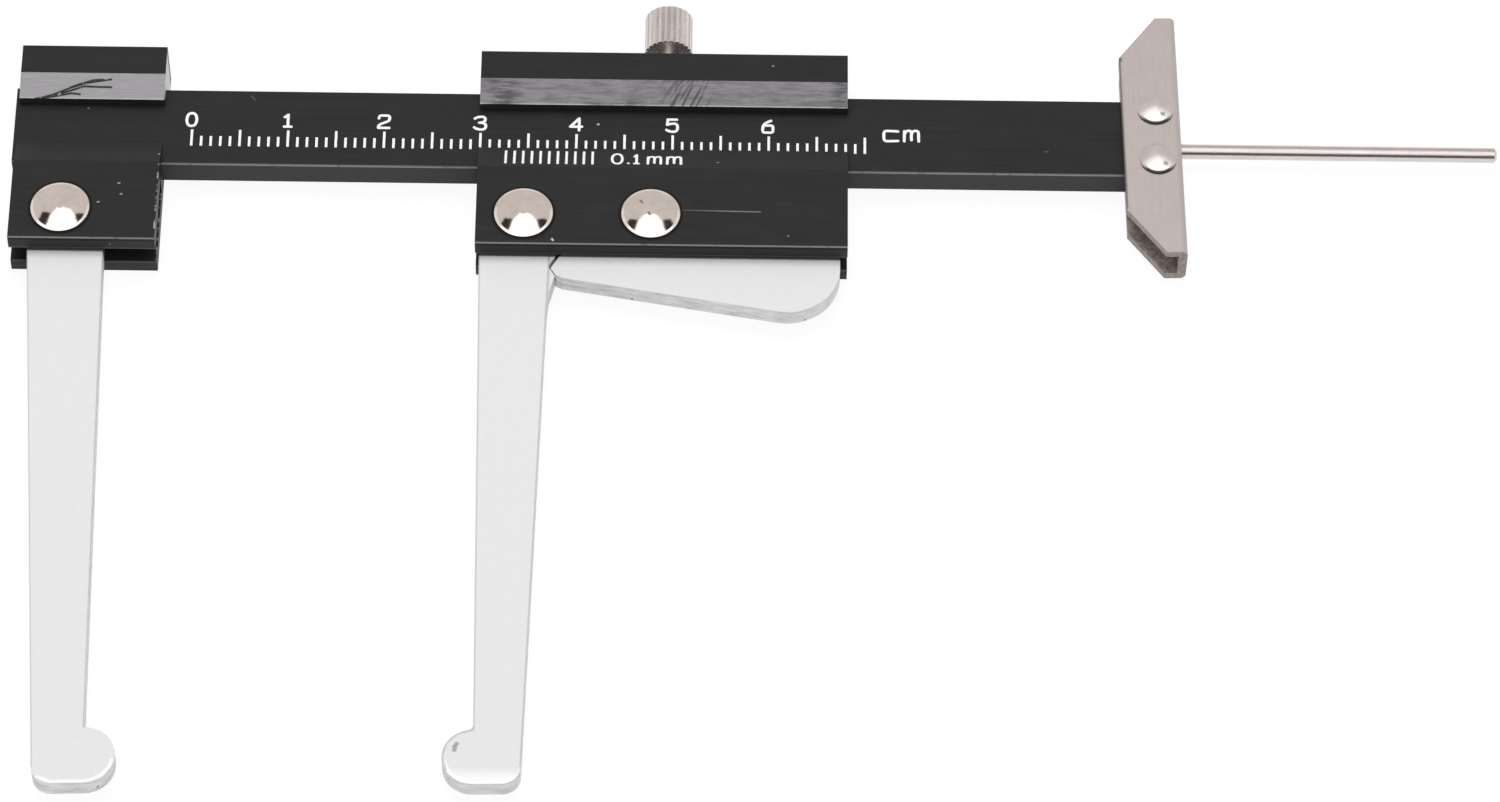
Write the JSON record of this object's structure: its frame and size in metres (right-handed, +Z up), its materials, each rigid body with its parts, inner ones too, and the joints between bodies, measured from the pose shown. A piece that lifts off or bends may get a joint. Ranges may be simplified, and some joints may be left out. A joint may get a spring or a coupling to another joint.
{
  "type": "brake disc gauge",
  "caption": "Vernier gauge with long hooked jaws for brake disc thickness, with a slider that slides on a beam, a quick-release lever, a lock screw, a depth rod and a folded depth bridge",
  "frame": {"origin": "centre of the fixed head's flat back face, which rests on the table", "axes": "+X along the beam towards the depth bridge, +Y across the beam away from the jaws, +Z up from the table through the scale's face"},
  "size_m": [0.1545, 0.0944, 0.0065],
  "materials": {
    "beam": "satin black anodised aluminium",
    "fixed_head": "satin black anodised aluminium",
    "head_pin_left": "plain steel",
    "head_pin_right": "plain steel",
    "fixed_jaw": "pale silver lacquer on pressed steel plate",
    "fixed_jaw_rivet": "bright nickel plate",
    "depth_bridge": "satin nickel plate",
    "bridge_rivet_upper": "bright nickel plate",
    "bridge_rivet_lower": "bright nickel plate",
    "slider_frame": "satin black anodised aluminium",
    "moving_jaw_rivet": "bright nickel plate",
    "lever_rivet": "bright nickel plate",
    "lever_spring": "plain steel",
    "gib_leaf_spring": "plain steel",
    "depth_rod": "satin nickel-plated steel wire",
    "rod_anchor": "plain steel",
    "moving_jaw": "pale silver lacquer on pressed steel plate",
    "release_lever": "pale silver lacquer on pressed steel plate",
    "lock_screw": "nickel-plated steel"
  },
  "bodies": {
    "beam_side": {"beam": "beam", "fixed_head": "fixed_head", "head_pin_left": "head_pin_left", "head_pin_right": "head_pin_right", "fixed_jaw": "fixed_jaw", "fixed_jaw_rivet": "fixed_jaw_rivet", "depth_bridge": "depth_bridge", "bridge_rivet_upper": "bridge_rivet_upper", "bridge_rivet_lower": "bridge_rivet_lower"},
    "slider_side": {"slider_frame": "slider_frame", "moving_jaw_rivet": "moving_jaw_rivet", "lever_rivet": "lever_rivet", "lever_spring": "lever_spring", "gib_leaf_spring": "gib_leaf_spring", "depth_rod": "depth_rod", "rod_anchor": "rod_anchor"},
    "jaw_side": {"moving_jaw": "moving_jaw"},
    "lever_side": {"release_lever": "release_lever"},
    "screw_side": {"lock_screw": "lock_screw"}
  },
  "joints": [
    {"name": "slider_travel", "type": "slide", "parent": "beam_side", "child": "slider_side", "axis": [1, 0, 0], "range_m": [-0.0319, 0.0273]},
    {"name": "lever_pivot", "type": "hinge", "parent": "slider_side", "child": "lever_side", "pos_m": [0.05845, -0.00838, 0.0029], "axis": [0, 0, 1], "range_deg": [0, 12], "stiffness_Nm_per_rad": 0.05, "springref_deg": -17.19, "deforming": ["lever_spring"]},
    {"name": "jaw_pivot", "type": "hinge", "parent": "slider_side", "child": "jaw_side", "pos_m": [0.04535, -0.00847, 0.0029], "axis": [0, 0, 1], "range_deg": [0, 1.8]},
    {"name": "lock_screw_turn", "type": "hinge", "parent": "slider_side", "child": "screw_side", "pos_m": [0.05995, 0.014, 0.0032], "axis": [0, 1, 0], "range_deg": [-180, 0]}
  ],
  "couplings": [
    {"joint": "jaw_pivot", "follows": "lever_pivot", "ratio": 0.15}
  ]
}
